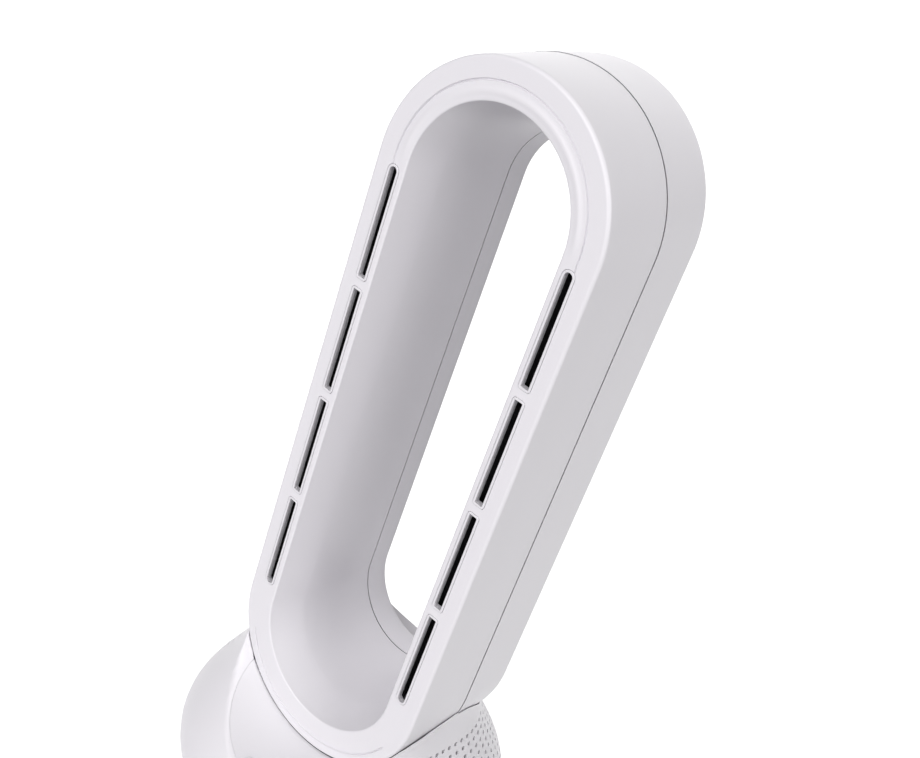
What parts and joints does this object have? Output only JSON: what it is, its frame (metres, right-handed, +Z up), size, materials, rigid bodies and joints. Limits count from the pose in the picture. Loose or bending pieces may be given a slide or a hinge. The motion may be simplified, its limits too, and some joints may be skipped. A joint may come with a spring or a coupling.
{
  "type": "bladeless fan",
  "caption": "Bladeless fan: upright stadium air loop with slotted face and through opening, on a swinging bell-shaped perforated base over a round foot.",
  "frame": {"origin": "centre of the foot pads' underside, on the swing axis", "axes": "+Z up along the swing axis; the fan blows towards -Y; +X to the right seen from the front"},
  "size_m": [0.282, 0.282, 0.6753],
  "materials": {
    "white_shell": "satin white moulded plastic",
    "white_trim": "satin white moulded plastic",
    "white_button": "satin white moulded plastic",
    "grey_plastic": "matt moulded plastic",
    "black_plastic": "matt moulded plastic",
    "black_rubber": "soft rubber",
    "grey_foam": "closed cell foam",
    "acetal": "slippery natural acetal",
    "steel": "zinc plated steel",
    "iron": "painted plate",
    "laminated_steel": "laminations with copper windings",
    "magnet": "bonded ferrite",
    "aluminium": "die cast",
    "circuit_board": "glass fibre laminate with parts",
    "lens": "clear acrylic light pipe",
    "filter": "matt moulded frame"
  },
  "bodies": {
    "foot": {"foot_tray": "black_plastic", "foot_cover": "black_plastic", "rubber_feet": "black_rubber", "ballast_plate": "iron", "foot_screws": "steel", "cord_gland": "grey_plastic", "power_board": "circuit_board", "glide_ring": "acetal", "swing_motor": "steel", "swing_motor_screws": "steel", "retaining_ring": "steel", "retaining_screws": "steel"},
    "head": {"loop_front_shell": "white_shell", "loop_rear_shell": "white_shell", "body_shell": "white_shell", "lower_shell": "white_shell", "front_panel": "white_trim", "left_vent_frame": "white_trim", "right_vent_frame": "white_trim", "left_air_guide": "black_plastic", "right_air_guide": "black_plastic", "inlet_guard": "black_plastic", "neck_duct": "grey_plastic", "blower_housing": "grey_plastic", "inlet_ring": "grey_plastic", "rubber_mounts": "black_rubber", "neck_seal": "grey_foam", "swing_gear": "acetal", "gear_screws": "steel", "body_screws": "steel", "mount_screws": "steel", "loop_screws": "steel", "control_screws": "steel", "motor_bearings": "steel", "motor_stator": "laminated_steel", "motor_bracket": "aluminium", "driver_board": "circuit_board", "control_board": "circuit_board", "tact_switches": "circuit_board", "indicator_lens": "lens", "filter_screen": "filter"},
    "pinion": {"drive_pinion": "acetal", "swing_motor_shaft": "steel"},
    "rotor": {"impeller": "grey_plastic", "impeller_nut": "steel", "motor_shaft": "steel", "motor_rotor": "steel", "rotor_magnets": "magnet"},
    "power_button": {"power_button": "white_button"},
    "speed_button": {"speed_button": "white_button"},
    "swing_button": {"swing_button": "white_button"}
  },
  "joints": [
    {"name": "head_swing", "type": "hinge", "parent": "foot", "child": "head", "pos_m": [0, 0, 0.027], "axis": [0, 0, 1], "range_deg": [-40, 40]},
    {"name": "pinion_spin", "type": "hinge", "parent": "foot", "child": "pinion", "pos_m": [0, -0.0375, 0.024], "axis": [0, 0, 1], "range_deg": [-160, 160]},
    {"name": "impeller_spin", "type": "hinge", "parent": "head", "child": "rotor", "pos_m": [0, 0, 0.062], "axis": [0, 0, 1], "continuous": true},
    {"name": "power_press", "type": "slide", "parent": "head", "child": "power_button", "axis": [0, 0.3499, -0.9368], "range_m": [0, 0.0005], "stiffness_N_per_m": 600, "springref_m": -0.0008},
    {"name": "speed_press", "type": "slide", "parent": "head", "child": "speed_button", "axis": [-0.0979, 0.3499, -0.9316], "range_m": [0, 0.0005], "stiffness_N_per_m": 600, "springref_m": -0.0008},
    {"name": "swing_press", "type": "slide", "parent": "head", "child": "swing_button", "axis": [0.0979, 0.3499, -0.9316], "range_m": [0, 0.0005], "stiffness_N_per_m": 600, "springref_m": -0.0008}
  ],
  "couplings": [
    {"joint": "pinion_spin", "follows": "head_swing", "ratio": -4}
  ]
}
